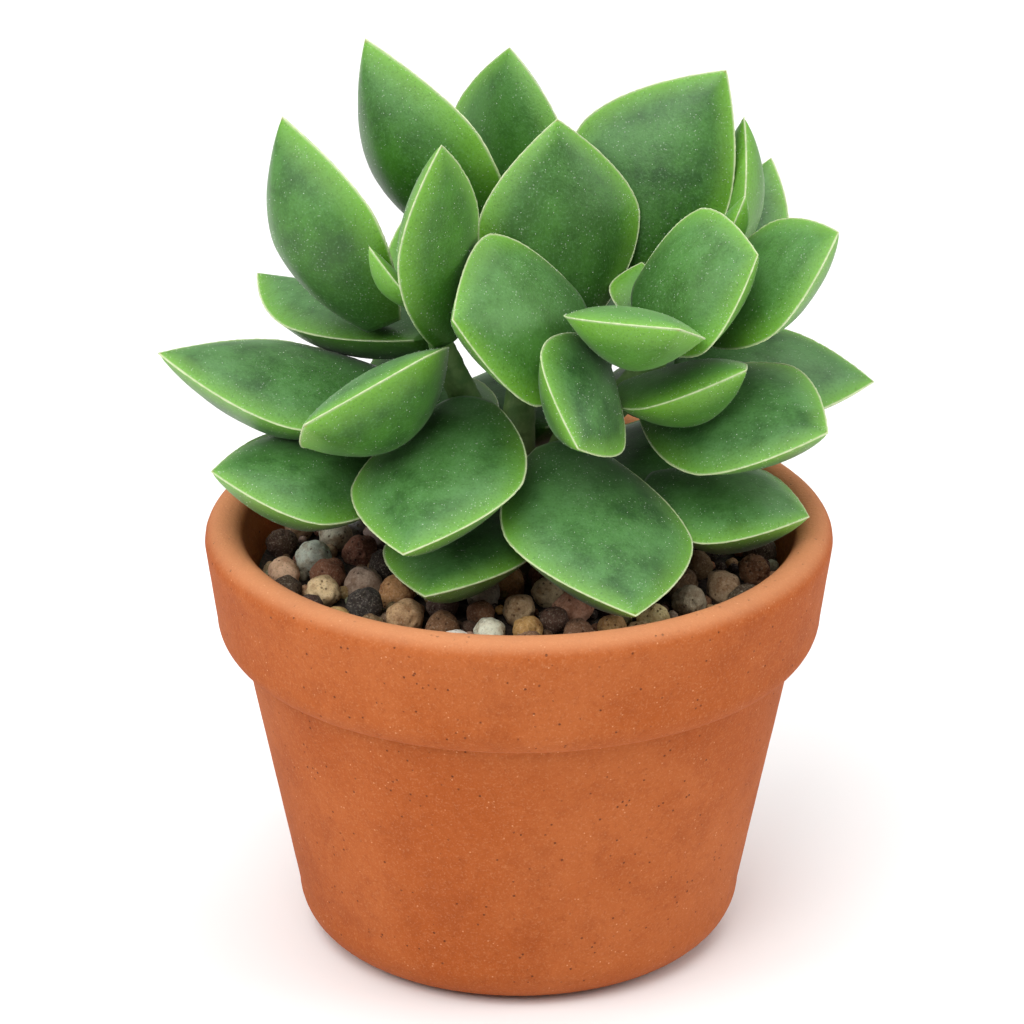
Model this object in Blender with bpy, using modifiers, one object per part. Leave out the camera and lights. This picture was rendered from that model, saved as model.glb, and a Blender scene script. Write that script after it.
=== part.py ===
"""A potted crassula: thick keeled leaves on short branching stems, in a clay pot topped with gravel."""

import itertools
import math
import random

import bmesh
import bpy
from mathutils import Euler, Matrix, Quaternion, Vector
from mathutils.bvhtree import BVHTree

MM = 0.001
GAP = 0.3 * MM
WELD = 0.01 * MM

# Pot: a standard clay pot, 110 mm across its rim.
POT_HEIGHT = 77.5 * MM
RIM_RADIUS = 55.0 * MM
RIM_WALL = 7.0 * MM
RIM_BAND = 22.5 * MM
RIM_TAPER = 1.9 * MM
RIM_UNDERCUT = 5.5 * MM
STEP_RADIUS = 48.5 * MM
BASE_RADIUS = 37.5 * MM
BASE_ROUND = 9.0 * MM
FLOOR_THICKNESS = 6.5 * MM
FLOOR_INNER_RADIUS = 31.5 * MM
DRAIN_RADIUS = 6.5 * MM
POT_STEPS = 48
ARC_POINTS = 4

# Filling
SOIL_TOP = 60.0 * MM
GRAVEL_TOP = 67.5 * MM
STONE_CENTRE = 68.7 * MM
STONE_SIZES = (5.6 * MM, 7.2 * MM)
STONE_SPACING = 1.02
STONE_TRIES = 2600
STONE_SEED = 11
STONE_LIFT = (-0.4 * MM, 0.5 * MM)
STONE_FLATTEST = 0.85
STONE_NARROWEST = 0.9
WALL_CLEARANCE = 0.4 * MM

# The stones that show in front of the leaves: x, y and diameter in millimetres.
FRONT_STONES = (
    (-36, 1, 7.0), (-41, -6, 6.4), (-34, -14, 6.8), (-27, -9, 7.2), (-26.5, -20.5, 7.2), (-28, 5, 7.0),
    (-42, 8, 6.0), (-39, 16, 6.2), (-19.5, -25, 7.2), (-13, -28.5, 6.6), (-5, -30, 5.8), (1.5, -30.5, 6.0),
    (-6.5, -22.5, 5.4), (0, -22, 6.2), (6, -26, 5.2), (10, -30, 5.8), (16, -28, 5.6), (23, -25, 6.2),
    (29.5, -17, 6.6), (35.5, -11.5, 6.6), (31, -2.5, 6.6), (41, -5, 6.0), (42.5, 4.5, 6.0),
)

# Stems: each a run of points in millimetres with the stem's radius there.
TRUNK = ((0, 0, 38, 4.2), (0, 0, 68, 4.4), (0, 2, 76, 4.8), (1, 4, 84, 4.6))
TRUNK_RADIUS = 5.2 * MM
HOLE_FOOT = 37.7 * MM
STEMS = {
    "left": ((0, 3, 78, 3.2), (-5, 1, 90, 3.0), (-11, -1, 104, 2.6), (-17, -2, 120, 1.6)),
    "centre": ((1, 3, 78, 3.2), (8, -1, 91, 3.0), (13, -4, 104, 2.6), (15, -3, 122, 1.6)),
    "right": ((2, 4, 78, 3.2), (12, 7, 90, 3.0), (24, 10, 104, 2.6), (30, 12, 121, 1.6)),
    "back": ((0, 5, 78, 3.2), (0, 10, 91, 3.0), (1, 13, 105, 2.6), (1, 15, 126, 1.6)),
    "low_left": ((0, 3, 77, 3.0), (-9, 1, 80, 2.8), (-18, -2, 87, 1.8)),
    "low_right": ((2, 3, 77, 3.0), (10, 1, 79, 2.8), (19, -2, 85, 1.8)),
}
STEM_SIDES_RESOLUTION = 2

# Leaf form, as shares of the leaf's own length or width.
LEAF_SEGMENTS = 12
LEAF_RINGS = 9
WIDEST_AT = 0.5
POINTEDNESS = 1.6
BASE_WIDTH = 0.34
UPPER_BULGE = 0.14
LOWER_BULGE = 0.29
UPPER_POWER = 2.0
LOWER_POWER = 1.7
BASE_THICKNESS = 0.4
TIP_FULLNESS = 0.85
INCURVE = 0.035

# Leaves that touch are eased apart in small steps.
SETTLE_ROUNDS = 400
SETTLE_TURN = math.radians(0.2)
SETTLE_SLIDE = 0.1 * MM
FRONT_GIVE = 0.5
SIDEWAYS_GIVE = 0.5
TOWARDS_FRONT = (0, -0.92, 0.39)
SETTLE_SAMPLES = 9

# Leaves: name, stem, height of the base on it, azimuth, rise and roll in degrees, length and width.
# Azimuth 0 points along +X and -90 to the front, and a positive roll turns the upper face to the right.
LEAVES = (
    ("back_left_tall", "back", 121, 168, 57, 50, 44, 34),
    ("left_upper", "left", 112, 168, 60, 34, 40, 34),
    ("left_inner", "left", 107, -150, 84, -72, 38, 22),
    ("back_tall", "back", 119, 88, 72, -54, 33, 27),
    ("centre_back", "centre", 114, 98, 74, 0, 36, 30),
    ("back_right_tall", "back", 117, 17, 52, 35, 45, 30),
    ("right_inner", "right", 112, 24, 76, -10, 31, 22),
    ("right_back", "right", 107, 50, 46, -10, 38, 24),
    ("right_bud", "right", 122, -40, 58, 30, 16, 11),
    ("right_side", "right", 112, -14, 41, 20, 34, 26),
    ("centre_right", "centre", 117, -22, 30, 45, 27, 28),
    ("centre_front", "centre", 117, -47, 14, -25, 28, 25),
    ("centre_bud", "centre", 115, 75, 45, 0, 11, 10),
    ("low_centre_right", "centre", 108, -41, 25, 10, 27, 25),
    ("low_right_front", "right", 100, -33, 8, 15, 39, 29),
    ("low_right", "right", 102, -2, -7, 8, 35, 26),
    ("rim_right", "low_right", 85, -20, -4, 6, 30, 29),
    ("front_right", "centre", 91, -72, -22, -8, 44, 34),
    ("front_small", "centre", 112, -94, -20, -58, 26, 24),
    ("front_left", "left", 101, -110, -17, 12, 40, 31),
    ("rim_front_left", "left", 84, -109, -8, 5, 37, 27),
    ("left_front", "left", 108, -127, -5, 36, 35, 32),
    ("left_side", "left", 103, -172, 12, -18, 47, 32),
    ("left_back", "left", 109, 144, 5, 0, 50, 24),
    ("rim_left", "low_left", 88, -164, 7, -8, 33, 31),
    ("left_bud", "left", 114, -178, 45, 0, 15, 10),
    ("centre_left", "centre", 114, -140, 14, -50, 31, 31),
)
BACK_LEAVES = (
    ("back_low", "back", 89, 88, -2, 0, 37, 28),
    ("back_low_left", "low_left", 84, 132, 6, 0, 38, 26),
    ("back_low_right", "low_right", 83, 58, 6, 0, 36, 25),
    ("back_middle_left", "back", 105, 124, 22, 0, 39, 28),
    ("back_middle_right", "back", 103, 52, 20, 0, 40, 27),
    ("back_upper", "back", 109, 88, 36, 0, 40, 27),
    ("right_low_back", "right", 95, 52, -2, 0, 34, 24),
    ("left_low_back", "left", 93, 122, 4, 0, 34, 24),
)

LEAF_COLOUR = (0.045, 0.16, 0.035)
YOUNG_COLOUR = (0.10, 0.30, 0.045)
CLAY_COLOUR = (0.54, 0.13, 0.027)
SOIL_COLOUR = (0.05, 0.03, 0.02)
GRAVEL_COLOUR = (0.22, 0.15, 0.09)
STEM_COLOUR = (0.20, 0.22, 0.08)


def clear_scene():
    for obj in list(bpy.data.objects):
        bpy.data.objects.remove(obj)


def new_collection(name):
    collection = bpy.data.collections.new(name)
    bpy.context.scene.collection.children.link(collection)
    return collection


def principled(name, colour, roughness):
    material = bpy.data.materials.new(name)
    material.use_nodes = True
    shader = material.node_tree.nodes["Principled BSDF"]
    shader.inputs["Base Color"].default_value = (*colour, 1)
    shader.inputs["Roughness"].default_value = roughness
    shader.inputs["Metallic"].default_value = 0
    return material


def add_object(name, mesh, collection, material=None):
    obj = bpy.data.objects.new(name, mesh)
    collection.objects.link(obj)
    if material:
        mesh.materials.append(material)
    return obj


def mesh_from(name, bm):
    mesh = bpy.data.meshes.new(name)
    bm.to_mesh(mesh)
    bm.free()
    return mesh


def baked_mesh(obj, name):
    """The object's evaluated mesh, with the loose caps of a curve welded on."""
    bpy.context.view_layer.update()
    graph = bpy.context.evaluated_depsgraph_get()
    mesh = bpy.data.meshes.new_from_object(obj.evaluated_get(graph))
    mesh.name = name
    bm = bmesh.new()
    bm.from_mesh(mesh)
    bmesh.ops.remove_doubles(bm, verts=bm.verts, dist=WELD)
    bmesh.ops.recalc_face_normals(bm, faces=bm.faces)
    bm.to_mesh(mesh)
    bm.free()
    return mesh


def join_all(target, pieces, solver="EXACT"):
    """Unions every object of the collection with the target, and removes them."""
    union = target.modifiers.new("union", "BOOLEAN")
    union.operation = "UNION"
    union.operand_type = "COLLECTION"
    union.collection = pieces
    union.solver = solver
    joined = baked_mesh(target, target.name)
    target.modifiers.clear()
    target.data = joined
    for obj in list(pieces.objects):
        bpy.data.objects.remove(obj)
    bpy.data.collections.remove(pieces)


def arc(centre_x, centre_z, radius_x, radius_z, start, end, points=ARC_POINTS):
    """Points of an elliptic arc in the XZ plane, from one angle to another in degrees."""
    for step in range(points + 1):
        angle = math.radians(start + (end - start) * step / points)
        yield centre_x + radius_x * math.cos(angle), centre_z + radius_z * math.sin(angle)


def turned(name, profile, collection, material):
    """A profile of (radius, height) points turned about Z: a closed one, or one that ends on the axis."""
    mesh = bpy.data.meshes.new(name)
    count = len(profile)
    edges = [(index, index + 1) for index in range(count - 1)]
    if profile[0][0] > 0:
        edges.append((count - 1, 0))
    mesh.from_pydata([(radius, 0, height) for radius, height in profile], edges, [])
    obj = add_object(name, mesh, collection, material)
    screw = obj.modifiers.new("turn", "SCREW")
    screw.steps = POT_STEPS
    screw.render_steps = POT_STEPS
    screw.use_merge_vertices = True
    screw.merge_threshold = WELD
    screw.use_smooth_shade = True
    return obj


def inner_radius(height):
    """The radius of the pot's inner wall at a height."""
    top = POT_HEIGHT - RIM_WALL / 2
    share = (height - FLOOR_THICKNESS) / (top - FLOOR_THICKNESS)
    return FLOOR_INNER_RADIUS + (RIM_RADIUS - RIM_WALL - FLOOR_INNER_RADIUS) * share


def build_pot(collection):
    lip = RIM_WALL / 2
    lip_centre = RIM_RADIUS - lip
    lip_height = POT_HEIGHT - lip
    band_foot = POT_HEIGHT - RIM_BAND
    foot_radius = RIM_RADIUS - RIM_TAPER
    undercut_width = foot_radius - STEP_RADIUS
    lower_slope = (STEP_RADIUS - BASE_RADIUS) / band_foot
    round_top_radius = BASE_RADIUS + lower_slope * BASE_ROUND
    profile = list(arc(lip_centre, lip_height, lip, lip, 180, 0, 2 * ARC_POINTS))
    profile += arc(STEP_RADIUS, band_foot + RIM_UNDERCUT, undercut_width, RIM_UNDERCUT, 0, -90)
    profile += arc(round_top_radius - BASE_ROUND, BASE_ROUND, BASE_ROUND, BASE_ROUND, 0, -90)
    profile += [
        (DRAIN_RADIUS, 0),
        (DRAIN_RADIUS, FLOOR_THICKNESS),
        (FLOOR_INNER_RADIUS, FLOOR_THICKNESS),
    ]
    return turned("pot", profile, collection, principled("terracotta", CLAY_COLOUR, 0.85))


def build_filling(collection):
    """Soil with a plain hole for the trunk, and the bed of the gravel over it."""
    hole = TRUNK_RADIUS
    soil_foot = FLOOR_THICKNESS + GAP
    soil_profile = [
        (0, HOLE_FOOT),
        (hole, HOLE_FOOT),
        (hole, SOIL_TOP),
        (inner_radius(SOIL_TOP) - WALL_CLEARANCE, SOIL_TOP),
        (inner_radius(soil_foot) - WALL_CLEARANCE, soil_foot),
        (0, soil_foot),
    ]
    turned("soil", soil_profile, collection, principled("soil", SOIL_COLOUR, 0.95))
    bed_foot = SOIL_TOP + GAP
    bed_profile = [
        (hole, GRAVEL_TOP),
        (inner_radius(GRAVEL_TOP) - WALL_CLEARANCE, GRAVEL_TOP),
        (inner_radius(bed_foot) - WALL_CLEARANCE, bed_foot),
        (hole, bed_foot),
    ]
    bed = turned("gravel", bed_profile, collection, principled("gravel", GRAVEL_COLOUR, 0.9))
    return bed


def stone_places():
    """The front stones, then others of random size wherever they fit between trunk and wall."""
    rng = random.Random(STONE_SEED)
    placed = [(x * MM, y * MM, size * MM) for x, y, size in FRONT_STONES]
    for _ in range(STONE_TRIES):
        size = rng.uniform(*STONE_SIZES)
        angle = rng.uniform(0, math.tau)
        outer = inner_radius(STONE_CENTRE) - WALL_CLEARANCE - size / 2
        inner = TRUNK_RADIUS + size / 2
        distance = math.sqrt(rng.uniform(inner**2, outer**2))
        x = distance * math.cos(angle)
        y = distance * math.sin(angle)
        if all(math.hypot(x - a, y - b) > STONE_SPACING * (size + other) / 2 for a, b, other in placed):
            placed.append((x, y, size))
    return placed


def build_gravel(bed):
    """Faceted stones, each of its own proportions and turn, sunk in the bed and fused to it."""
    rng = random.Random(STONE_SEED + 1)
    stones = new_collection("stones")
    for number, (x, y, size) in enumerate(stone_places()):
        bm = bmesh.new()
        bmesh.ops.create_icosphere(bm, subdivisions=1, radius=size / 2)
        sides = [rng.uniform(STONE_NARROWEST, 1) for _ in range(2)]
        stretch = Matrix.Diagonal((*sides, rng.uniform(STONE_FLATTEST, 1), 1))
        turn = Euler((rng.uniform(0, math.tau), rng.uniform(0, math.tau), 0)).to_matrix().to_4x4()
        lift = rng.uniform(*STONE_LIFT)
        bm.transform(Matrix.Translation((x, y, STONE_CENTRE + lift)) @ turn @ stretch)
        add_object(f"stone_{number}", mesh_from(f"stone_{number}", bm), stones)
    join_all(bed, stones, "MANIFOLD")


def stem_curve(name, points, collection):
    data = bpy.data.curves.new(name, "CURVE")
    data.dimensions = "3D"
    data.bevel_depth = 1
    data.bevel_resolution = STEM_SIDES_RESOLUTION
    data.use_fill_caps = True
    spline = data.splines.new("POLY")
    spline.points.add(len(points) - 1)
    for point, (x, y, z, radius) in zip(spline.points, points):
        point.co = (x * MM, y * MM, z * MM, 1)
        point.radius = radius * MM
    obj = bpy.data.objects.new(name, data)
    collection.objects.link(obj)
    return obj


def build_stems(collection):
    """The trunk and its branches, fused in one piece."""
    branches = new_collection("branches")
    for name, points in {"trunk": TRUNK, **STEMS}.items():
        curve = stem_curve(name, points, branches)
        mesh = baked_mesh(curve, name)
        bpy.data.objects.remove(curve)
        add_object(name, mesh, branches)
    trunk = branches.objects["trunk"]
    branches.objects.unlink(trunk)
    collection.objects.link(trunk)
    trunk.name = "stems"
    trunk.data.materials.append(principled("stem", STEM_COLOUR, 0.7))
    join_all(trunk, branches)
    return trunk


def on_stem(stem, height):
    """The stem's centre and radius at a height, both in metres."""
    points = STEMS[stem]
    for low, high in zip(points, points[1:]):
        if height <= high[2] or high is points[-1]:
            share = (height - low[2]) / (high[2] - low[2])
            mixed = [a + (b - a) * share for a, b in zip(low, high)]
            return Vector(mixed[:3]) * MM, mixed[3] * MM


def leaf_width(along):
    """Half-width at a share of the leaf's length, against the widest."""
    if along < WIDEST_AT:
        return 1 - (1 - BASE_WIDTH) * ((WIDEST_AT - along) / WIDEST_AT) ** 2
    return 1 - ((along - WIDEST_AT) / (1 - WIDEST_AT)) ** POINTEDNESS


def leaf_thickness(along):
    if along < WIDEST_AT:
        return 1 - (1 - BASE_THICKNESS) * ((WIDEST_AT - along) / WIDEST_AT) ** 2
    return leaf_width(along) ** TIP_FULLNESS


def leaf_point(along, around, length, width):
    """A point of the leaf that lies along +X with its upper face to +Z; around runs through both margins."""
    across = math.cos(around)
    thick = leaf_thickness(along) * width
    if math.sin(around) > 0:
        rise = UPPER_BULGE * thick * (1 - abs(across) ** UPPER_POWER)
    else:
        rise = -LOWER_BULGE * thick * (1 - abs(across) ** LOWER_POWER)
    sag = INCURVE * length * 4 * along * (1 - along)
    return Vector((along * length, leaf_width(along) * width / 2 * across, rise - sag))


def leaf_mesh(name, length, width):
    """A sphere whose poles become the leaf's tip and the middle of its cut base."""
    bm = bmesh.new()
    bmesh.ops.create_uvsphere(bm, u_segments=LEAF_SEGMENTS, v_segments=LEAF_RINGS, radius=1)
    for vert in bm.verts:
        from_tip = math.acos(max(-1, min(1, vert.co.z))) / math.pi
        along = max(0, 1 - from_tip * LEAF_RINGS / (LEAF_RINGS - 1))
        at_pole = math.hypot(vert.co.x, vert.co.y) < 1e-4
        if at_pole and from_tip > 0.5:
            vert.co = (0, 0, (UPPER_BULGE - LOWER_BULGE) * leaf_thickness(0) * width / 2)
        else:
            vert.co = leaf_point(along, math.atan2(vert.co.y, vert.co.x), length, width)
    return mesh_from(name, bm)


def build_leaves(collection):
    leaf = principled("leaf", LEAF_COLOUR, 0.5)
    young = principled("young leaf", YOUNG_COLOUR, 0.5)
    leaves = []
    for name, stem, height, azimuth, rise, roll, length, width in LEAVES + BACK_LEAVES:
        centre, stem_radius = on_stem(stem, height)
        mesh = leaf_mesh(name, length * MM, width * MM)
        obj = add_object("leaf_" + name, mesh, collection, young if "bud" in name else leaf)
        turn = Euler((math.radians(roll), math.radians(-rise), math.radians(azimuth)))
        outward = Vector((math.cos(turn.z), math.sin(turn.z), 0))
        half_thick = UPPER_BULGE * BASE_THICKNESS * width * MM
        obj.location = centre + outward * (stem_radius + GAP + half_thick * math.sin(math.radians(rise)))
        obj["front"] = len(leaves) < len(LEAVES)
        obj.rotation_mode = "QUATERNION"
        obj.rotation_quaternion = turn.to_quaternion()
        mesh.shade_smooth()
        leaves.append(obj)
    return leaves


def axis_points(leaf):
    """Points along a leaf from its base to its tip."""
    length = max(vert.co.x for vert in leaf.data.vertices)
    matrix = Matrix.LocRotScale(leaf.location, leaf.rotation_quaternion, None)
    steps = SETTLE_SAMPLES - 1
    return [matrix @ Vector((length * step / steps, 0, 0)) for step in range(SETTLE_SAMPLES)]


def leaf_tree(leaf):
    matrix = Matrix.LocRotScale(leaf.location, leaf.rotation_quaternion, None)
    points = [matrix @ vert.co for vert in leaf.data.vertices]
    return BVHTree.FromPolygons(points, [face.vertices for face in leaf.data.polygons], epsilon=GAP / 2)


def ease(leaf, contact, push):
    """Slides the leaf by a small step along the push, and turns it very slightly about its base."""
    give = FRONT_GIVE if leaf["front"] else 1
    leaf.location += push * SETTLE_SLIDE * give
    turn = (contact - leaf.location).cross(push)
    if turn.length:
        leaf.rotation_quaternion = Quaternion(turn.normalized(), SETTLE_TURN * give) @ leaf.rotation_quaternion


def mostly_in_depth(push):
    """The push with less of it sideways, so that a leaf gives way to the front or the back."""
    front = Vector(TOWARDS_FRONT)
    depth = front * push.dot(front)
    return (depth + (push - depth) * SIDEWAYS_GIVE).normalized()


def settle(leaves, stems, ground):
    """Eases crowded leaves off each other, the stems and the ground pieces, until none touch."""
    bpy.context.view_layer.update()
    graph = bpy.context.evaluated_depsgraph_get()
    stem_tree = BVHTree.FromObject(stems, graph, epsilon=GAP / 2)
    ground_trees = [BVHTree.FromObject(obj, graph, epsilon=GAP / 2) for obj in ground]
    for _ in range(SETTLE_ROUNDS):
        trees = {leaf: leaf_tree(leaf) for leaf in leaves}
        axes = {leaf: axis_points(leaf) for leaf in leaves}
        eased = 0
        for first, second in itertools.combinations(leaves, 2):
            if not trees[first].overlap(trees[second]):
                continue
            pairs = itertools.product(axes[first], axes[second])
            near, far = min(pairs, key=lambda pair: (pair[0] - pair[1]).length)
            push = mostly_in_depth(near - far)
            contact = (near + far) / 2
            ease(first, contact, push)
            ease(second, contact, -push)
            eased += 1
        for leaf in leaves:
            if stem_tree.overlap(trees[leaf]):
                leaf.location += (axes[leaf][-1] - axes[leaf][0]).normalized() * SETTLE_SLIDE
                eased += 1
            for tree in ground_trees:
                touching = tree.overlap(trees[leaf])
                if touching:
                    face = leaf.data.polygons[touching[0][1]]
                    contact = leaf.location + leaf.rotation_quaternion @ face.center
                    ease(leaf, contact, Vector((0, 0, 1)))
                    eased += 1
        if not eased:
            return


def main():
    clear_scene()
    parts = new_collection("potted crassula")
    pot = build_pot(parts)
    bed = build_filling(parts)
    build_gravel(bed)
    stems = build_stems(parts)
    leaves = build_leaves(parts)
    settle(leaves, stems, [pot, bed])


main()
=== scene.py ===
import math
import random

import bpy
import numpy as np
from mathutils import Euler, Matrix, Vector, noise


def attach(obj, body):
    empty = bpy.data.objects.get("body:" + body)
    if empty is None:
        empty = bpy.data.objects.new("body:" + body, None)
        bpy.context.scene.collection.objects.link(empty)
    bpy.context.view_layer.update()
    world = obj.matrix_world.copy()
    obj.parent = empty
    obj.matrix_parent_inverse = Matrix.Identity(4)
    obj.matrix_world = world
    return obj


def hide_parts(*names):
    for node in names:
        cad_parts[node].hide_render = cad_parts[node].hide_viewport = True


# A potted crassula: finer leaves, stems, pebbles and pot round the fixed frame.

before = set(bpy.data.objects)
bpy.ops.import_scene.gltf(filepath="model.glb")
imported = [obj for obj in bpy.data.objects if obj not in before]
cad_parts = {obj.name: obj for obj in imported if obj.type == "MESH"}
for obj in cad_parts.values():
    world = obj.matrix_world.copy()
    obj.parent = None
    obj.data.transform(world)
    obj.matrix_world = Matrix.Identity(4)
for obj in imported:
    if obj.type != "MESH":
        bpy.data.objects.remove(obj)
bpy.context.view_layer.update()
mm = 0.001


# Small helpers.

def selectOnly(*pieces):
    bpy.ops.object.select_all(action="DESELECT")
    for piece in pieces:
        piece.select_set(True)
    bpy.context.view_layer.objects.active = pieces[0]


def joinPieces(name, pieces):
    selectOnly(*pieces)
    if len(pieces) > 1:
        bpy.ops.object.join()
    joined = bpy.context.active_object
    joined.name = name
    joined.data.name = name
    return joined


def objectFrom(name, points, faces):
    mesh = bpy.data.meshes.new(name)
    mesh.from_pydata(points, [], faces)
    piece = bpy.data.objects.new(name, mesh)
    bpy.context.scene.collection.objects.link(piece)
    return piece


def readPoints(piece):
    points = np.empty(len(piece.data.vertices) * 3)
    piece.data.vertices.foreach_get("co", points)
    return points.reshape(-1, 3)


def writePoints(piece, points):
    piece.data.vertices.foreach_set("co", np.asarray(points, dtype=float).ravel())
    piece.data.update()


def readNormals(piece):
    normals = np.empty(len(piece.data.vertices) * 3)
    piece.data.vertices.foreach_get("normal", normals)
    return normals.reshape(-1, 3)


def setValues(piece, name, values):
    count = len(piece.data.vertices)
    layer = piece.data.attributes.new(name, "FLOAT", "POINT")
    layer.data.foreach_set("value", np.broadcast_to(values, count).astype(np.float32))


def setTint(piece, colours):
    layer = piece.data.attributes.new("tint", "FLOAT_COLOR", "POINT")
    layer.data.foreach_set("color", np.asarray(colours, dtype=np.float32).ravel())


def smooth(piece, angle=None):
    selectOnly(piece)
    if angle is None:
        bpy.ops.object.shade_smooth()
    else:
        bpy.ops.object.shade_smooth_by_angle(angle=math.radians(angle))


def step(value, low, high):
    share = np.clip((value - low) / (high - low), 0, 1)
    return share * share * (3 - 2 * share)


def scattered(name, templates, places):
    # places: (template, matrix, tint), every copy with its own points in one mesh
    shapes = []
    for template in templates:
        faces = [tuple(face.vertices) for face in template.data.polygons]
        shapes.append((readPoints(template), faces))
    points, faces, tints = [], [], []
    count = 0
    for index, matrix, tint in places:
        shapePoints, shapeFaces = shapes[index]
        turn = np.array(matrix.to_3x3())
        points.append(shapePoints @ turn.T + np.array(matrix.translation))
        faces += [tuple(corner + count for corner in face) for face in shapeFaces]
        tints.append(np.tile([*tint, 1.0], (len(shapePoints), 1)))
        count += len(shapePoints)
    piece = objectFrom(name, np.concatenate(points).tolist(), faces)
    setTint(piece, np.concatenate(tints))
    return piece


def icosphere(name, levels, radius=1.0):
    bpy.ops.object.select_all(action="DESELECT")
    bpy.ops.mesh.primitive_ico_sphere_add(subdivisions=levels, radius=radius)
    piece = bpy.context.active_object
    piece.name = name
    return piece


def remove(*pieces):
    for piece in pieces:
        bpy.data.objects.remove(piece)


# Shader sums.

class Value:  # one socket of a node tree, usable in sums

    def __init__(self, maker, socket):
        self.maker = maker
        self.socket = socket

    def sum(self, operation, first, second):
        return self.maker.node("Math", {"operation": operation}, {0: first, 1: second})

    def __add__(self, other):
        return self.sum("ADD", self, other)

    def __sub__(self, other):
        return self.sum("SUBTRACT", self, other)

    def __rsub__(self, other):
        return self.sum("SUBTRACT", other, self)

    def __mul__(self, other):
        return self.sum("MULTIPLY", self, other)

    def __truediv__(self, other):
        return self.sum("DIVIDE", self, other)

    def __pow__(self, other):
        return self.sum("POWER", self, other)

    __radd__ = __add__
    __rmul__ = __mul__

    def between(self, low, high, toLow=0.0, toHigh=1.0):
        settings = {"interpolation_type": "SMOOTHSTEP"}
        return self.maker.node("MapRange", settings, {0: self, 1: low, 2: high, 3: toLow, 4: toHigh})


class Finish:  # a material and its node tree

    def __init__(self, name, roughness):
        self.material = bpy.data.materials.new(name)
        self.material.use_nodes = True
        self.tree = self.material.node_tree
        self.shader = self.tree.nodes["Principled BSDF"]
        self.shader.inputs["Roughness"].default_value = roughness
        self.place = self.node("TexCoord", {}, {}, "Object")

    def node(self, kind, settings, inputs, output=0):
        made = self.tree.nodes.new("ShaderNode" + kind)
        for key, value in settings.items():
            if key == "stops":
                self.setStops(made.color_ramp, value)
            else:
                setattr(made, key, value)
        for key, value in inputs.items():
            if isinstance(value, Value):
                self.tree.links.new(value.socket, made.inputs[key])
            else:
                made.inputs[key].default_value = value
        return Value(self, made.outputs[output])

    def setStops(self, ramp, stops):
        while len(ramp.elements) < len(stops):
            ramp.elements.new(1)
        for element, (place, colour) in zip(ramp.elements, stops):
            element.position = place
            element.color = (*colour, 1)

    def attribute(self, name, output="Fac"):
        return self.node("Attribute", {"attribute_name": name}, {}, output)

    def mix(self, share, first, second, blend="MIX"):
        settings = {"data_type": "RGBA", "blend_type": blend}
        first, second = [(*c, 1) if isinstance(c, tuple) else c for c in (first, second)]
        return self.node("Mix", settings, {0: share, 6: first, 7: second}, 2)

    def noise(self, perMetre, detail=2.0, roughness=0.5, place=None):
        inputs = {"Vector": place or self.place, "Scale": perMetre, "Detail": detail, "Roughness": roughness}
        return self.node("TexNoise", {}, inputs, 0)

    def cells(self, perMetre, feature="F1", output="Distance"):
        inputs = {"Vector": self.place, "Scale": perMetre}
        return self.node("TexVoronoi", {"feature": feature}, inputs, output)

    def bump(self, height, strength, distance, under=None):
        inputs = {"Height": height, "Strength": strength, "Distance": distance}
        if under:
            inputs["Normal"] = under
        return self.node("Bump", {}, inputs, 0)

    def feed(self, socket, value):
        self.tree.links.new(value.socket, self.shader.inputs[socket])


# Camera, floor and light.

cameraSet = {"distance": 1.0, "elevation": 23.1, "lookAt": (-0.0012, 0, 0.0782), "lens": 201.0}
lightSet = {
    "world": 0.30,
    "top": {"at": (0.0, 0.15, 1.60), "size": 2.4, "watts": 30.0},
    "front": {"at": (-0.35, -0.95, 1.15), "size": 0.8, "watts": 10.0},
    "right": {"at": (1.00, -0.15, 0.55), "size": 0.6, "watts": 4.0},
    "left": {"at": (-1.00, -0.35, 0.70), "size": 0.6, "watts": 4.0},
}
floorSet = {"side": 8.0, "colour": (0.93, 0.93, 0.93)}

elevation = math.radians(cameraSet["elevation"])
target = Vector(cameraSet["lookAt"])
bpy.ops.object.camera_add()
camera = bpy.context.active_object
camera.location = target + cameraSet["distance"] * Vector((0, -math.cos(elevation), math.sin(elevation)))
camera.rotation_euler = (math.pi / 2 - elevation, 0, 0)
camera.data.lens = cameraSet["lens"]
camera.data.sensor_width = 36
camera.data.clip_start = 0.05
bpy.context.scene.camera = camera

for side in ("top", "front", "right", "left"):
    light = lightSet[side]
    bpy.ops.object.light_add(type="AREA", location=light["at"])
    lamp = bpy.context.active_object
    lamp.data.size = light["size"]
    lamp.data.energy = light["watts"]
    lamp.rotation_euler = (Vector(light["at"]) - target).to_track_quat("Z", "Y").to_euler()

world = bpy.data.worlds.new("studio")
world.use_nodes = True
world.node_tree.nodes["Background"].inputs["Color"].default_value = (1, 1, 1, 1)
world.node_tree.nodes["Background"].inputs["Strength"].default_value = lightSet["world"]
bpy.context.scene.world = world
bpy.context.scene.view_settings.view_transform = "Standard"

bpy.ops.mesh.primitive_plane_add(size=floorSet["side"], location=(0, 0, 0))
floor = bpy.context.active_object
floor.name = "floor"
floorFinish = Finish("floor", 0.9)
floorFinish.shader.inputs["Base Color"].default_value = (*floorSet["colour"], 1)
floor.data.materials.append(floorFinish.material)
print("camera, floor and light set")


# Finishes.

leafColours = {
    "deep": (0.010, 0.062, 0.003),
    "mid": (0.048, 0.185, 0.010),
    # the pale blue-green of the leaf's wax bloom, also used as painted sheen on the faces turned upwards
    "bloom": (0.140, 0.315, 0.125),
    "glow": (0.190, 0.460, 0.030),
    # the painted glow of light through the thin margins, also tinting the cream line
    "young": (0.110, 0.320, 0.025),
    "cream": (0.700, 0.760, 0.480),
    "tip": (0.420, 0.230, 0.090),
    "speck": (0.800, 0.860, 0.760),
}


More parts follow.
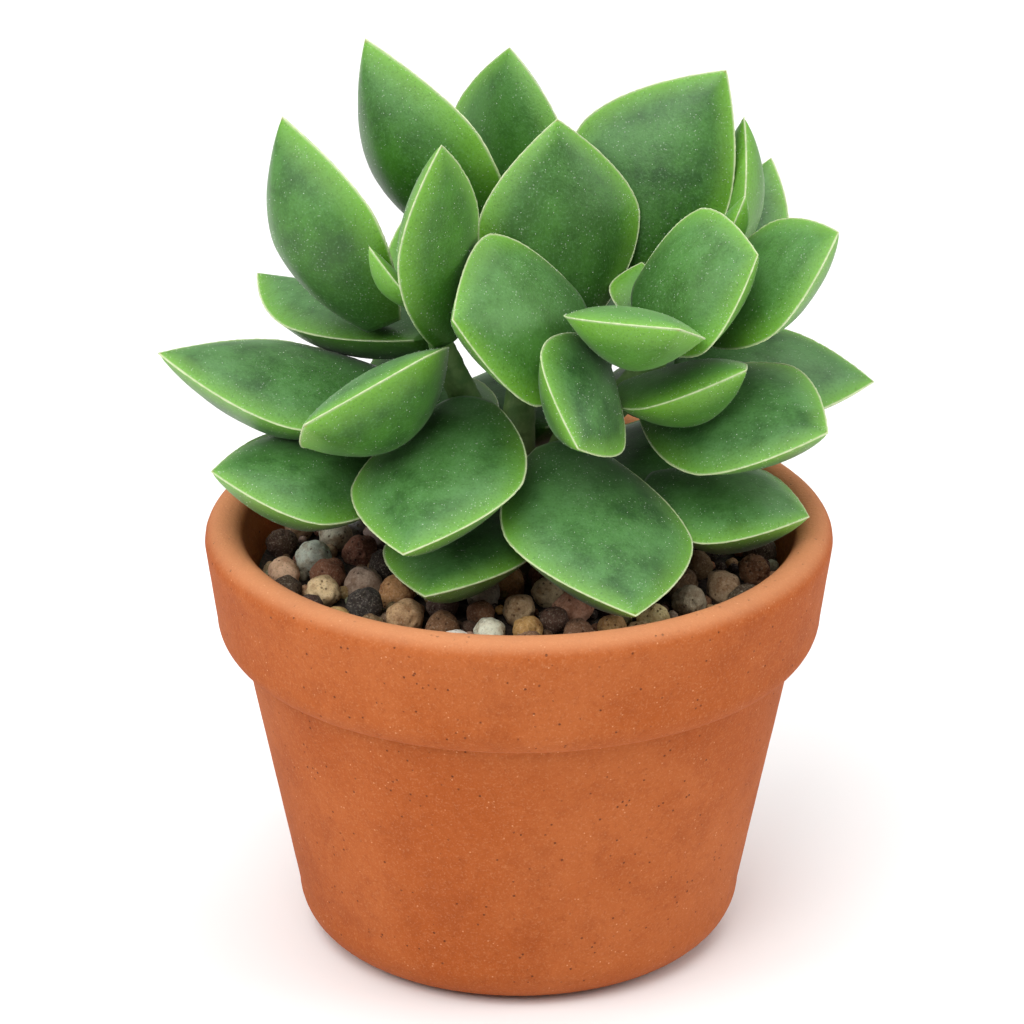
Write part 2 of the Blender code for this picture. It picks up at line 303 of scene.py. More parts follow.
def leafFinish():
    skin = Finish("leafSkin", 0.5)
    rim = skin.attribute("rim")        # millimetres from the margin
    along = skin.attribute("along")    # 0 at the base, 1 at the tip
    cream = skin.attribute("cream")    # 1 on the margin's line, 2 on the papillae
    young = skin.attribute("young")
    shade = skin.attribute("shade")    # each leaf's own depth of green
    normal = skin.node("NewGeometry", {}, {}, "Normal")
    upward = skin.node("SeparateXYZ", {}, {0: normal}, 2)
    cloud = skin.noise(130, 5, 0.65)
    patch = skin.noise(420, 4, 0.7)
    grain = skin.noise(2100, 2, 0.7)
    green = skin.mix((cloud * 0.9 + shade * 0.4).between(0.32, 0.72), leafColours["deep"], leafColours["mid"])
    green = skin.mix(young * 0.75, green, leafColours["young"])
    # painted glow: within a few millimetres of the margins the green turns brighter yellow-green, standing in for light
    # shining through the thin edges
    glow = (1 - rim.between(0.0, 5.5)) * 0.62 + (1 - rim.between(0.0, 1.4)) * 0.22
    green = skin.mix(glow, green, leafColours["glow"])
    # painted sheen: faces turned upwards are mixed towards pale blue-green, partly the leaf's wax bloom and partly
    # painted reflection of the light from above
    bloom = upward.between(-0.15, 0.90) * cloud.between(0.30, 0.68, 0.30, 1.0) * (1 - young * 0.45)
    bloom = bloom * (0.40 + patch * 0.8) * rim.between(-0.5, 3.5, 0.30, 1.0)
    green = skin.mix(bloom * 0.60, green, leafColours["bloom"])
    # painted shade: the green darkens towards the leaf's base, where shade falls inside the rosette
    green = skin.mix((1 - along.between(0.0, 0.50)) * 0.70, green, leafColours["deep"])
    green = skin.mix((grain - 0.5).between(0.0, 0.25) * 0.34, green, leafColours["bloom"])
    green = skin.mix((0.5 - grain).between(0.0, 0.25) * 0.38, green, leafColours["deep"])
    dust = (1 - skin.cells(1500).between(0.10, 0.24)) * skin.noise(240, 3, 0.6).between(0.45, 0.62)
    green = skin.mix(dust * 0.26, green, leafColours["speck"])
    tip = along.between(0.985, 1.0)
    green = skin.mix(tip * 0.8, green, leafColours["tip"])
    edge = (1 - rim.between(0.05, 0.40)) * (0.35 + patch * 0.55)
    green = skin.mix(edge * 0.60, green, leafColours["cream"])
    line = skin.mix(skin.noise(900, 2) * 0.6, leafColours["cream"], leafColours["glow"])
    green = skin.mix(cream.between(0.3, 0.7), green, line)
    green = skin.mix(cream.between(1.3, 1.7), green, leafColours["speck"])
    skin.feed("Base Color", green)
    skin.feed("Roughness", 0.36 + grain * 0.25)
    fine = skin.bump(grain, 0.22, 0.0003)
    skin.feed("Normal", skin.bump(patch, 0.10, 0.0008, fine))
    skin.shader.inputs["Subsurface Weight"].default_value = 0.10
    skin.shader.inputs["Subsurface Radius"].default_value = (0.5, 1.0, 0.25)
    skin.shader.inputs["Subsurface Scale"].default_value = 0.0025
    skin.shader.inputs["Sheen Weight"].default_value = 0.12
    skin.shader.inputs["Sheen Roughness"].default_value = 0.35
    return skin.material


clayColours = {
    "base": (0.385, 0.084, 0.012),
    "pale": (0.500, 0.140, 0.036),
    "dark": (0.280, 0.052, 0.007),
    "pit": (0.130, 0.030, 0.008),
    # pale flecks in the clay, also used for the painted highlights on the rim top and at the band's foot
    "fleck": (0.720, 0.360, 0.180),
}


def clayFinish():
    clay = Finish("terracotta", 0.82)
    cloud = clay.noise(26, 5, 0.6)
    blotch = clay.noise(120, 5, 0.65)
    sand = clay.noise(900, 4, 0.75)
    grain = clay.noise(2400, 2, 0.7)
    colour = clay.mix(cloud.between(0.38, 0.66) * 0.55, clayColours["base"], clayColours["pale"])
    colour = clay.mix(blotch.between(0.45, 0.72) * 0.40, colour, clayColours["dark"])
    colour = clay.mix((sand - 0.5).between(0.0, 0.22) * 0.40, colour, clayColours["pale"])
    colour = clay.mix((0.5 - sand).between(0.0, 0.22) * 0.35, colour, clayColours["dark"])
    colour = clay.mix((grain - 0.5).between(0.0, 0.25) * 0.22, colour, clayColours["fleck"])
    pits = (1 - clay.cells(620).between(0.08, 0.17)) * clay.noise(300, 1).between(0.50, 0.58)
    colour = clay.mix(pits * 0.85, colour, clayColours["pit"])
    flecks = (1 - clay.cells(760).between(0.07, 0.15)) * clay.noise(210, 1).between(0.52, 0.60)
    colour = clay.mix(flecks * 0.65, colour, clayColours["fleck"])
    upward = clay.node("SeparateXYZ", {}, {0: clay.node("NewGeometry", {}, {}, "Normal")}, 2)
    # painted highlight: faces turned upwards, the top of the rim most, are lightened towards the pale fleck colour
    colour = clay.mix(upward.between(0.25, 0.95) * 0.45, colour, clayColours["fleck"])
    # painted highlight: a thin pale line round the pot at the foot of the rim's band, about 55 mm up, broken up by the
    # blotch noise
    height = clay.node("SeparateXYZ", {}, {0: clay.place}, 2)
    line = height.between(0.0545, 0.0550) * (1 - height.between(0.0552, 0.0558)) * blotch.between(0.35, 0.6)
    colour = clay.mix(line * 0.45, colour, clayColours["fleck"])
    clay.feed("Base Color", colour)
    clay.feed("Roughness", 0.74 + grain * 0.16)
    rough = clay.bump(grain, 0.30, 0.0003)
    rough = clay.bump(sand, 0.40, 0.0005, rough)
    clay.feed("Normal", clay.bump(1 - pits, 0.6, 0.0005, rough))
    clay.shader.inputs["Specular IOR Level"].default_value = 0.25
    return clay.material


def stoneFinish():
    stone = Finish("pebble", 0.85)
    tint = stone.attribute("tint", "Color")
    cloud = stone.noise(420, 4, 0.6)
    grain = stone.noise(2600, 3, 0.7)
    stain = stone.mix(1.0, tint, (0.45, 0.30, 0.18), "MULTIPLY")
    colour = stone.mix(cloud.between(0.42, 0.70) * 0.75, tint, stain)
    colour = stone.mix((grain - 0.5).between(0.0, 0.2) * 0.22, colour, (0.85, 0.75, 0.58))
    colour = stone.mix((0.5 - grain).between(0.0, 0.2) * 0.38, colour, (0.05, 0.03, 0.02))
    pits = 1 - stone.cells(900).between(0.12, 0.27)
    pits = pits * stone.noise(350, 1).between(0.42, 0.55)
    colour = stone.mix(pits * 0.8, colour, stone.mix(1.0, tint, (0.20, 0.12, 0.07), "MULTIPLY"))
    stone.feed("Base Color", colour)
    rough = stone.bump(grain, 0.45, 0.0003)
    stone.feed("Normal", stone.bump(1 - pits, 0.6, 0.0004, rough))
    return stone.material


def soilFinish():
    soil = Finish("pottingSoil", 0.95)
    grain = soil.noise(1400, 5, 0.7)
    soil.feed("Base Color", soil.mix(grain.between(0.35, 0.7), (0.012, 0.008, 0.006), (0.075, 0.045, 0.028)))
    soil.feed("Normal", soil.bump(grain, 0.8, 0.0008))
    return soil.material


def stemFinish():
    bark = Finish("stemSkin", 0.65)
    streak = bark.noise(300, 4, 0.6)
    height = bark.node("SeparateXYZ", {}, {0: bark.place}, 2)
    woody = 1 - height.between(0.07, 0.10)
    colour = bark.mix(streak.between(0.35, 0.7), (0.060, 0.150, 0.025), (0.130, 0.230, 0.060))
    colour = bark.mix(woody * 0.8, colour, bark.mix(streak, (0.10, 0.07, 0.035), (0.23, 0.17, 0.09)))
    bark.feed("Base Color", colour)
    bark.feed("Normal", bark.bump(bark.noise(900, 4, 0.6), 0.4, 0.0005))
    return bark.material


leafSkin = leafFinish()
terracotta = clayFinish()
pebbleStone = stoneFinish()
pottingSoil = soilFinish()
stemSkin = stemFinish()
print("finishes made")


# Leaves.

leafShape = {
    "segments": 64, "rings": 42,
    "widestAt": 0.5, "pointedness": 1.6, "baseWidth": 0.34, "baseThickness": 0.4, "tipFullness": 0.85,
    "upperBulge": 0.14, "lowerBulge": 0.29, "upperPower": 2.0, "lowerPower": 1.7, "incurve": 0.035,
    "swell": 0.16 * mm, "swellSize": 7 * mm,
    "cordRadius": 0.17 * mm, "cordPoints": 80,
    "beads": 330, "beadRadius": (0.06 * mm, 0.14 * mm),
    "specksPerMm2": 0.26, "speckRadius": (0.03 * mm, 0.075 * mm),
    "seed": 41,
}


def leafWidth(along):
    wide = leafShape["widestAt"]
    toBase = 1 - (1 - leafShape["baseWidth"]) * ((wide - along) / wide) ** 2
    toTip = 1 - np.maximum((along - wide) / (1 - wide), 0) ** leafShape["pointedness"]
    return np.where(along < wide, toBase, toTip)


def leafThickness(along):
    wide = leafShape["widestAt"]
    toBase = 1 - (1 - leafShape["baseThickness"]) * ((wide - along) / wide) ** 2
    return np.where(along < wide, toBase, np.maximum(leafWidth(along), 0) ** leafShape["tipFullness"])


def leafPoints(along, around, length, width):
    across = np.cos(around)
    thick = leafThickness(along) * width
    upper = leafShape["upperBulge"] * thick * (1 - np.abs(across) ** leafShape["upperPower"])
    lower = -leafShape["lowerBulge"] * thick * (1 - np.abs(across) ** leafShape["lowerPower"])
    rise = np.where(np.sin(around) > 0, upper, lower)
    sag = leafShape["incurve"] * length * 4 * along * (1 - along)
    return np.stack([along * length, leafWidth(along) * width / 2 * across, rise - sag], axis=1)


def leafFrame(node):
    # the tip is where twelve faces meet at a point, and the base is the ring farthest from it
    index, places, near, facesAt = {}, [], {}, {}
    for face in node.data.polygons:
        corners = []
        for vertex in face.vertices:
            place = node.data.vertices[vertex].co
            key = tuple(round(value, 6) for value in place)
            if key not in index:
                index[key] = len(places)
                places.append(Vector(place))
            corners.append(index[key])
        for corner in corners:
            facesAt[corner] = facesAt.get(corner, 0) + 1
            near.setdefault(corner, set()).update(corners)

    def flatness(pole):
        ring = [places[other] for other in near[pole] if other != pole]
        middle = sum(ring, Vector()) / len(ring)
        return (places[pole] - middle).length

    tip = max(sorted(facesAt, key=facesAt.get)[-2:], key=flatness)
    seen, ring = {tip}, {tip}
    while ring:
        base = ring
        ring = set().union(*(near[corner] for corner in ring)) - seen
        seen |= ring
    base = [places[corner] for corner in base]
    left, right = max(((a, b) for a in base for b in base), key=lambda pair: (pair[0] - pair[1]).length)
    origin = (left + right) / 2
    xAxis = (places[tip] - origin).normalized()
    yAxis = (left - right).normalized()
    zAxis = xAxis.cross(yAxis)
    middle = sum(base, Vector()) / len(base)
    if (middle - origin).dot(zAxis) > 0:
        yAxis, zAxis = -yAxis, -zAxis
    turn = np.array([xAxis, yAxis, zAxis])
    length = (places[tip] - origin).length
    width = (left - right).length / leafShape["baseWidth"]
    return np.array(origin), turn, length, width


def marginDistance(points, length, width):
    # to the nearer margin, along the surface from side to side
    along = points[:, 0] / length
    half = np.maximum(leafWidth(along), 0) * width / 2
    return np.maximum(half - np.abs(points[:, 1]), 0)


def makeLeaf(node, rng):
    origin, turn, length, width = leafFrame(node)
    segments, rings = leafShape["segments"], leafShape["rings"]
    bpy.ops.object.select_all(action="DESELECT")
    bpy.ops.mesh.primitive_uv_sphere_add(segments=segments, ring_count=rings, radius=1)
    body = bpy.context.active_object
    ball = readPoints(body)
    fromTip = np.arccos(np.clip(ball[:, 2], -1, 1)) / math.pi
    along = np.clip(1 - fromTip * rings / (rings - 1), 0, 1)
    around = np.arctan2(ball[:, 1], ball[:, 0])
    points = leafPoints(along, around, length, width)
    bottom = fromTip > 1 - 0.5 / rings
    bulge = (leafShape["upperBulge"] - leafShape["lowerBulge"]) * leafShape["baseThickness"]
    points[bottom] = (0, 0, bulge * width / 2)
    rim = marginDistance(points, length, width)
    writePoints(body, points)
    normals = readNormals(body)
    shift = Vector((rng.uniform(0, 9), rng.uniform(0, 9), rng.uniform(0, 9)))
    swells = [noise.noise(Vector(point) / leafShape["swellSize"] + shift) for point in points]
    swell = leafShape["swell"] * np.array(swells) * step(rim, 0, 2 * mm) * step(along, 0, 0.15)
    writePoints(body, (points + normals * swell[:, None] - np.maximum(swell, 0)[:, None] * normals) @ turn + origin)
    setValues(body, "rim", rim / mm)
    setValues(body, "along", along)
    setValues(body, "cream", 0)

    # the cream line along both margins, thick and thin like a row of beads
    count = leafShape["cordPoints"]
    edge = np.concatenate([np.linspace(0.04, 1, count), np.linspace(1, 0.04, count)[1:]])
    sideOf = np.concatenate([np.zeros(count), np.full(count - 1, math.pi)])
    path = leafPoints(edge, sideOf, length, width) @ turn + origin
    curve = bpy.data.curves.new("cord", "CURVE")
    curve.dimensions = "3D"
    curve.bevel_depth = leafShape["cordRadius"]
    curve.bevel_resolution = 1
    spline = curve.splines.new("POLY")
    spline.points.add(len(path) - 1)
    small = min(1, 0.55 + length / 0.09)
    for point, place, share in zip(spline.points, path, edge):
        point.co = (*place, 1)
        point.radius = small * (0.55 + 0.6 * rng.random()) * min(1, 0.3 + share * 2)
    cord = bpy.data.objects.new("cord", curve)
    bpy.context.scene.collection.objects.link(cord)
    selectOnly(cord)
    bpy.ops.object.convert(target="MESH")
    cord = bpy.context.active_object
    setValues(cord, "cream", 1)
    setValues(cord, "along", 0.5)
    setValues(cord, "rim", 0)

    # papillae: beads on the margins and tiny specks over both faces
    places = []
    for _ in range(leafShape["beads"]):
        share = rng.uniform(0.08, 0.99)
        side = rng.choice((0.0, math.pi)) + rng.uniform(-0.1, 0.1)
        places.append((share, side, rng.uniform(*leafShape["beadRadius"]) * small))
    for _ in range(int(leafShape["specksPerMm2"] * 2 * length * width / mm**2 * 0.7)):
        share = rng.uniform(0.06, 0.98)
        places.append((share, rng.uniform(-math.pi, math.pi), rng.uniform(*leafShape["speckRadius"])))
    shares = np.array([place[0] for place in places])
    sides = np.array([place[1] for place in places])
    spots = leafPoints(shares, sides, length, width) @ turn + origin
    matrices = [
        (0, Matrix.Translation(spot) @ Matrix.Scale(radius, 4), (1, 1, 1))
        for spot, (_, _, radius) in zip(spots, places)
    ]
    specks = scattered("specks", [speckShape], matrices)
    specks.data.attributes.remove(specks.data.attributes["tint"])
    setValues(specks, "cream", 2)
    setValues(specks, "along", 0.5)
    setValues(specks, "rim", 0)
    selectOnly(body)
    bpy.ops.object.shade_smooth()
    leaf = joinPieces(pieceName(node.name), [body, cord, specks])
    smooth(leaf)
    isYoung = "bud" in node.name
    setValues(leaf, "young", 1 if isYoung else youngLeaves.get(node.name, 0))
    setValues(leaf, "shade", rng.uniform(0, 0.5))
    leaf.data.materials.append(leafSkin)
    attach(leaf, "root")
    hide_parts(node.name)
    return leaf


def pieceName(node):
    words = node.split("_")
    return words[0] + "".join(word.capitalize() for word in words[1:])


# how young a leaf looks, from 0 for the old outer ones
youngLeaves = {
    "leaf_right_inner": 0.7, "leaf_centre_right": 0.3, "leaf_centre_front": 0.7, "leaf_low_centre_right": 0.6,
    "leaf_centre_left": 0.35, "leaf_left_inner": 0.4, "leaf_centre_back": 0.25, "leaf_left_upper": 0.15,
    "leaf_right_side": 0.2,
}

bpy.ops.mesh.primitive_uv_sphere_add(segments=4, ring_count=2, radius=1)
speckShape = bpy.context.active_object
for nodeName in sorted(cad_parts):
    if nodeName.startswith("leaf_"):
        makeLeaf(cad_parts[nodeName], random.Random(leafShape["seed"] + sum(map(ord, nodeName))))
remove(speckShape)
print("leaves made")


# Stems.

stemShape = {
    "runs": (
        ((0, 0, 38, 4.2), (0, 0, 68, 4.4), (0, 2, 76, 4.8), (1, 4, 84, 4.6)),
        ((0, 3, 78, 3.2), (-5, 1, 90, 3.0), (-11, -1, 104, 2.6), (-17, -2, 120, 1.6)),
        ((1, 3, 78, 3.2), (8, -1, 91, 3.0), (13, -4, 104, 2.6), (15, -3, 117, 1.6)),
        ((2, 4, 78, 3.2), (12, 7, 90, 3.0), (24, 10, 104, 2.6), (30, 12, 121, 1.6)),
        ((0, 5, 78, 3.2), (0, 10, 91, 3.0), (1, 13, 105, 2.6), (1, 15, 126, 1.6)),
        ((0, 3, 77, 3.0), (-9, 1, 80, 2.8), (-18, -2, 87, 1.8)),
        ((2, 3, 77, 3.0), (10, 1, 79, 2.8), (19, -2, 85, 1.8)),
    ),
    "perSpan": 8, "voxel": 0.55 * mm, "ridge": 0.14 * mm,
}


def curved(run):
    # a smooth run through the given points
    points = [Vector(point) for point in run]
    ends = [points[0] * 2 - points[1], *points, points[-1] * 2 - points[-2]]
    for before, start, end, after in zip(ends, ends[1:], ends[2:], ends[3:]):
        for index in range(stemShape["perSpan"]):
            t = index / stemShape["perSpan"]
            yield 0.5 * (2 * start + (end - before) * t + (2 * before - 5 * start + 4 * end - after) * t**2
                         + (3 * start - before - 3 * end + after) * t**3)
    yield points[-1]


def makeStems():
    tubes = []
    for run in stemShape["runs"]:
        curve = bpy.data.curves.new("stem", "CURVE")
        curve.dimensions = "3D"
        curve.bevel_depth = 1
        curve.bevel_resolution = 4
        curve.use_fill_caps = True
        places = list(curved(run))
        spline = curve.splines.new("POLY")
        spline.points.add(len(places) - 1)
        for point, place in zip(spline.points, places):
            point.co = (place[0] * mm, place[1] * mm, place[2] * mm, 1)
            point.radius = place[3] * mm
        tube = bpy.data.objects.new("stem", curve)
        bpy.context.scene.collection.objects.link(tube)
        selectOnly(tube)
        bpy.ops.object.convert(target="MESH")
        tubes.append(bpy.context.active_object)
    stems = joinPieces("stemWork", tubes)
    fuse = stems.modifiers.new("fuse", "REMESH")
    fuse.mode = "VOXEL"
    fuse.voxel_size = stemShape["voxel"]
    soften = stems.modifiers.new("soften", "SMOOTH")
    soften.iterations = 4
    selectOnly(stems)
    bpy.ops.object.modifier_apply(modifier="fuse")
    bpy.ops.object.modifier_apply(modifier="soften")
    points = readPoints(stems)
    normals = readNormals(stems)
    ridges = np.array([noise.noise(Vector((x * 300, y * 300, z * 900))) for x, y, z in points])
    writePoints(stems, points + normals * (ridges * stemShape["ridge"])[:, None])
    smooth(stems)
    stems.data.materials.clear()
    stems.data.materials.append(stemSkin)
    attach(stems, "root")
    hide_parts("stems")


makeStems()
print("stems made")


# Pot.

potShape = {
    "height": 77.5 * mm, "rimRadius": 55 * mm, "rimWall": 7 * mm, "rimBand": 22.5 * mm, "rimTaper": 1.9 * mm,
    "undercut": 5.5 * mm, "stepRadius": 48.5 * mm, "baseRadius": 37.5 * mm, "baseRound": 9 * mm,
    "floor": 6.5 * mm, "floorRadius": 31.5 * mm, "drainRadius": 6.5 * mm,
    "arcPoints": 14, "spacing": 1.4 * mm, "turns": 200,
    "wobble": 0.10 * mm, "pitDepth": 0.16 * mm, "seed": 3,
}


def potArc(x, z, radiusX, radiusZ, start, end):
    for index in range(potShape["arcPoints"] + 1):
        angle = math.radians(start + (end - start) * index / potShape["arcPoints"])
        yield Vector((x + radiusX * math.cos(angle), 0, z + radiusZ * math.sin(angle)))


def potProfile():
    shape = potShape
    lip = shape["rimWall"] / 2
    bandFoot = shape["height"] - shape["rimBand"]
    undercutWidth = shape["rimRadius"] - shape["rimTaper"] - shape["stepRadius"]
    slope = (shape["stepRadius"] - shape["baseRadius"]) / bandFoot
    roundTop = shape["baseRadius"] + slope * shape["baseRound"]
    outline = list(potArc(shape["rimRadius"] - lip, shape["height"] - lip, lip, lip, 180, 0))
    outline += potArc(shape["stepRadius"], bandFoot + shape["undercut"], undercutWidth, shape["undercut"], 0, -90)
    outline += potArc(roundTop - shape["baseRound"], shape["baseRound"], shape["baseRound"], shape["baseRound"], 0, -90)
    outline.append(Vector((shape["drainRadius"], 0, 0)))
    outline.append(Vector((shape["drainRadius"], 0, shape["floor"])))
    outline.append(Vector((shape["floorRadius"], 0, shape["floor"])))
    dense = []
    for start, end in zip(outline, outline[1:] + outline[:1]):
        pieces = max(1, round((end - start).length / shape["spacing"]))
        dense += [start.lerp(end, index / pieces) for index in range(pieces)]
    return dense


def makePot():
    profile = potProfile()
    count = len(profile)
    mesh = bpy.data.meshes.new("terracottaPot")
    mesh.from_pydata(profile, [(index, (index + 1) % count) for index in range(count)], [])
    pot = bpy.data.objects.new("terracottaPot", mesh)
    bpy.context.scene.collection.objects.link(pot)
    selectOnly(pot)
    bpy.ops.object.mode_set(mode="EDIT")
    bpy.ops.mesh.select_all(action="SELECT")
    bpy.ops.mesh.spin(steps=potShape["turns"], angle=math.tau, center=(0, 0, 0), axis=(0, 0, 1))
    bpy.ops.mesh.select_all(action="SELECT")
    bpy.ops.mesh.remove_doubles(threshold=0.01 * mm)
    bpy.ops.mesh.normals_make_consistent(inside=False)
    bpy.ops.object.mode_set(mode="OBJECT")
    points = readPoints(pot)
    normals = readNormals(pot)
    moves = []
    for x, y, z in points:
        place = Vector((x, y, z))
        wave = noise.noise(place * 60) + 0.5 * noise.noise(place * 260)
        dent = noise.noise(place * 700)
        moves.append(potShape["wobble"] * (wave - 1) * 0.5 - potShape["pitDepth"] * max(0, dent - 0.45))
    inward = np.array(moves) * step(points[:, 2], 0.2 * mm, 4 * mm)
    writePoints(pot, points + normals * inward[:, None])
    smooth(pot, 50)
    pot.data.materials.append(terracotta)
    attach(pot, "root")
    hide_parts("pot")


makePot()
print("pot made")


# Gravel and soil.

gravelShape = {
    "centre": 68.7 * mm, "sizes": (5.6 * mm, 7.2 * mm), "spacing": 1.02, "tries": 2600, "seed": 11,
    "wallClearance": 0.4 * mm, "trunkRadius": 5.2 * mm, "lift": (-0.4 * mm, 0.5 * mm),
    "narrowest": 0.9, "flattest": 0.85, "shapes": 11, "lumps": 0.15, "pits": 0.075,
    "bedTop": 66.8 * mm, "gritTries": 1150, "gritSizes": (1.6 * mm, 3.2 * mm), "gritHeight": (66.6 * mm, 68.4 * mm),
}
stoneTints = {
    "white": (0.780, 0.740, 0.630), "cream": (0.740, 0.580, 0.370), "tan": (0.540, 0.350, 0.180),
    "ochre": (0.500, 0.270, 0.105), "brown": (0.230, 0.115, 0.055), "dark": (0.085, 0.045, 0.027),
    "lava": (0.045, 0.030, 0.024), "grey": (0.380, 0.300, 0.215),
}
frontStones = (
    (-36, 1, 7.0, "white"), (-41, -6, 6.4, "cream"), (-34, -14, 6.8, "cream"), (-27, -9, 7.2, "grey"),
    (-26.5, -20.5, 7.2, "lava"), (-28, 5, 7.0, "brown"), (-42, 8, 6.0, "dark"), (-39, 16, 6.2, "tan"),
    (-19.5, -25, 7.2, "tan"), (-13, -28.5, 6.6, "brown"), (-5, -30, 5.8, "white"), (1.5, -30.5, 6.0, "ochre"),
    (-6.5, -22.5, 5.4, "brown"), (0, -22, 6.2, "tan"), (6, -26, 5.2, "dark"), (10, -30, 5.8, "brown"),
    (16, -28, 5.6, "ochre"), (23, -25, 6.2, "cream"), (29.5, -17, 6.6, "grey"), (35.5, -11.5, 6.6, "tan"),
    (31, -2.5, 6.6, "brown"), (41, -5, 6.0, "brown"), (42.5, 4.5, 6.0, "dark"),
)


def innerRadius(height):
    top = potShape["height"] - potShape["rimWall"] / 2
    share = (height - potShape["floor"]) / (top - potShape["floor"])
    mouth = potShape["rimRadius"] - potShape["rimWall"]
    return potShape["floorRadius"] + (mouth - potShape["floorRadius"]) * share


def stonePlaces():
    # the rule of the fixed gravel: the front stones, then others wherever they fit
    rng = random.Random(gravelShape["seed"])
    placed = [(x * mm, y * mm, size * mm) for x, y, size, _ in frontStones]
    for _ in range(gravelShape["tries"]):
        size = rng.uniform(*gravelShape["sizes"])
        angle = rng.uniform(0, math.tau)
        outer = innerRadius(gravelShape["centre"]) - gravelShape["wallClearance"] - size / 2
        inner = gravelShape["trunkRadius"] + size / 2
        distance = math.sqrt(rng.uniform(inner**2, outer**2))
        x = distance * math.cos(angle)
        y = distance * math.sin(angle)
        spacing = gravelShape["spacing"]
        if all(math.hypot(x - a, y - b) > spacing * (size + other) / 2 for a, b, other in placed):
            placed.append((x, y, size))
    return placed


def stoneShape(index, levels, pitted):
    shape = icosphere("stoneShape", levels)
    points = readPoints(shape)
    shaped = []
    for point in points:
        place = Vector(point)
        shift = Vector((index * 7.3, index * 3.1, 0))
        lump = noise.noise(place * 1.1 + shift) + 0.55 * noise.noise(place * 2.3 + shift)
        pit = max(0, noise.noise(place * 4.5 + shift) - 0.25) + 0.5 * max(0, noise.noise(place * 9 + shift) - 0.3)
        crumb = noise.noise(place * 13 + shift) * 0.02
        shaped.append(place * (0.96 + gravelShape["lumps"] * lump - gravelShape["pits"] * pitted * pit * 4 + crumb))
    writePoints(shape, shaped)
    return shape


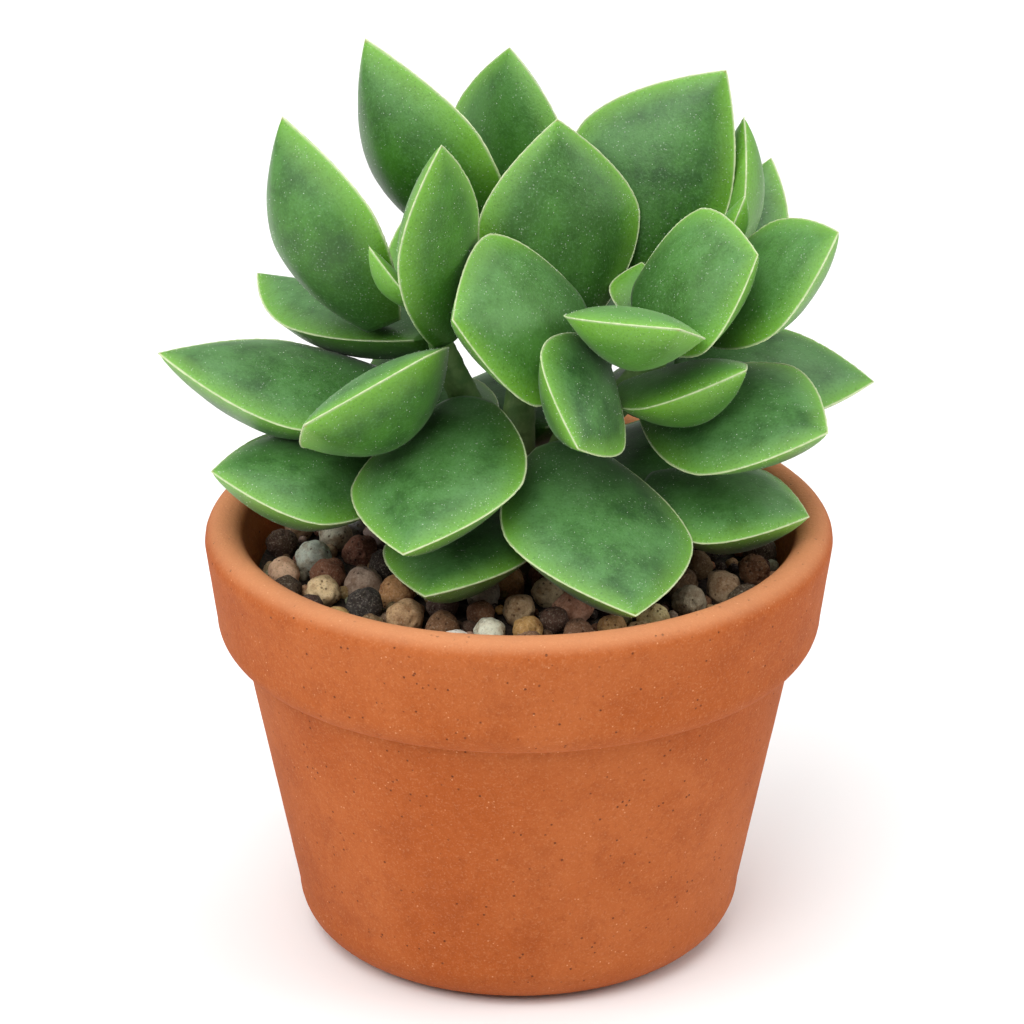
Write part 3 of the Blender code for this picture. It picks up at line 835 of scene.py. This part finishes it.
def makeGravel():
    rng = random.Random(gravelShape["seed"] + 1)
    pick = random.Random(gravelShape["seed"] + 2)
    shapes = [stoneShape(index, 4, 0.4 + 0.8 * (index % 3)) for index in range(gravelShape["shapes"])]
    kinds = ("white", "cream", "tan", "tan", "ochre", "brown", "brown", "dark", "dark", "lava", "grey")
    stones = stonePlaces()
    places = []
    for number, (x, y, size) in enumerate(stones):
        sides = [rng.uniform(gravelShape["narrowest"], 1) for _ in range(2)]
        stretch = Matrix.Diagonal((*sides, rng.uniform(gravelShape["flattest"], 1), 1))
        turn = Euler((rng.uniform(0, math.tau), rng.uniform(0, math.tau), 0)).to_matrix().to_4x4()
        lift = rng.uniform(*gravelShape["lift"])
        kind = frontStones[number][3] if number < len(frontStones) else pick.choice(kinds)
        tint = [value * pick.uniform(0.85, 1.15) for value in stoneTints[kind]]
        matrix = Matrix.Translation((x, y, gravelShape["centre"] + lift)) @ turn @ stretch
        matrix = matrix @ Matrix.Scale(size / 2 * 1.03, 4)
        index = 0 if kind == "white" else pick.randrange(1, gravelShape["shapes"])
        places.append((index, matrix, tint))
    pebbles = scattered("pebbles", shapes, places)
    remove(*shapes)

    grits = [stoneShape(20 + index, 3, 1.0) for index in range(4)]
    placed, places = [], []
    for _ in range(gravelShape["gritTries"]):
        size = pick.uniform(*gravelShape["gritSizes"])
        angle = pick.uniform(0, math.tau)
        outer = innerRadius(gravelShape["bedTop"]) - gravelShape["wallClearance"] - size / 2
        distance = math.sqrt(pick.uniform(gravelShape["trunkRadius"] ** 2, outer**2))
        x, y = distance * math.cos(angle), distance * math.sin(angle)
        height = pick.uniform(*gravelShape["gritHeight"])
        if any(math.hypot(x - a, y - b) < 0.40 * other + 0.3 * size for a, b, other in stones):
            continue
        if any(math.hypot(x - a, y - b) < 0.45 * (size + other) for a, b, other in placed):
            continue
        placed.append((x, y, size))
        turn = Euler([pick.uniform(0, math.tau) for _ in range(3)]).to_matrix().to_4x4()
        tint = [value * pick.uniform(0.7, 1.1) for value in stoneTints[pick.choice(kinds[2:])]]
        matrix = Matrix.Translation((x, y, height)) @ turn @ Matrix.Scale(size / 2, 4)
        places.append((pick.randrange(4), matrix, tint))
    grit = scattered("grit", grits, places)
    remove(*grits)
    for piece in (pebbles, grit):
        smooth(piece)
        piece.data.materials.append(pebbleStone)
    return pebbles, grit


def makeBed():
    # the dark bed under the stones, a ring round the trunk
    outer = innerRadius(gravelShape["bedTop"]) - gravelShape["wallClearance"]
    inner = gravelShape["trunkRadius"]
    foot = 60.3 * mm
    footOuter = innerRadius(foot) - gravelShape["wallClearance"]
    rows = 30
    profile = [Vector((inner + (outer - inner) * index / rows, 0, gravelShape["bedTop"])) for index in range(rows + 1)]
    profile += [Vector((footOuter, 0, foot)), Vector((inner, 0, foot))]
    count = len(profile)
    mesh = bpy.data.meshes.new("gravelBed")
    mesh.from_pydata(profile, [(index, (index + 1) % count) for index in range(count)], [])
    bed = bpy.data.objects.new("gravelBed", mesh)
    bpy.context.scene.collection.objects.link(bed)
    selectOnly(bed)
    bpy.ops.object.mode_set(mode="EDIT")
    bpy.ops.mesh.select_all(action="SELECT")
    bpy.ops.mesh.spin(steps=120, angle=math.tau, center=(0, 0, 0), axis=(0, 0, 1))
    bpy.ops.mesh.select_all(action="SELECT")
    bpy.ops.mesh.remove_doubles(threshold=0.01 * mm)
    bpy.ops.mesh.normals_make_consistent(inside=False)
    bpy.ops.object.mode_set(mode="OBJECT")
    points = readPoints(bed)
    radius = np.hypot(points[:, 0], points[:, 1])
    top = (points[:, 2] > gravelShape["bedTop"] - 0.1 * mm) & (radius < outer - 0.1 * mm) & (radius > inner + 0.1 * mm)
    for index in np.flatnonzero(top):
        points[index, 2] += 0.7 * mm * noise.noise(Vector(points[index]) * 420)
    writePoints(bed, points)
    smooth(bed, 50)
    bed.data.materials.append(pottingSoil)
    return bed


pebbles, grit = makeGravel()
bed = makeBed()
for piece in (pebbles, grit, bed):
    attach(piece, "root")
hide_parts("gravel")
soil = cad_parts["soil"]
soil.data.materials.clear()
soil.data.materials.append(pottingSoil)
print("gravel and soil made")
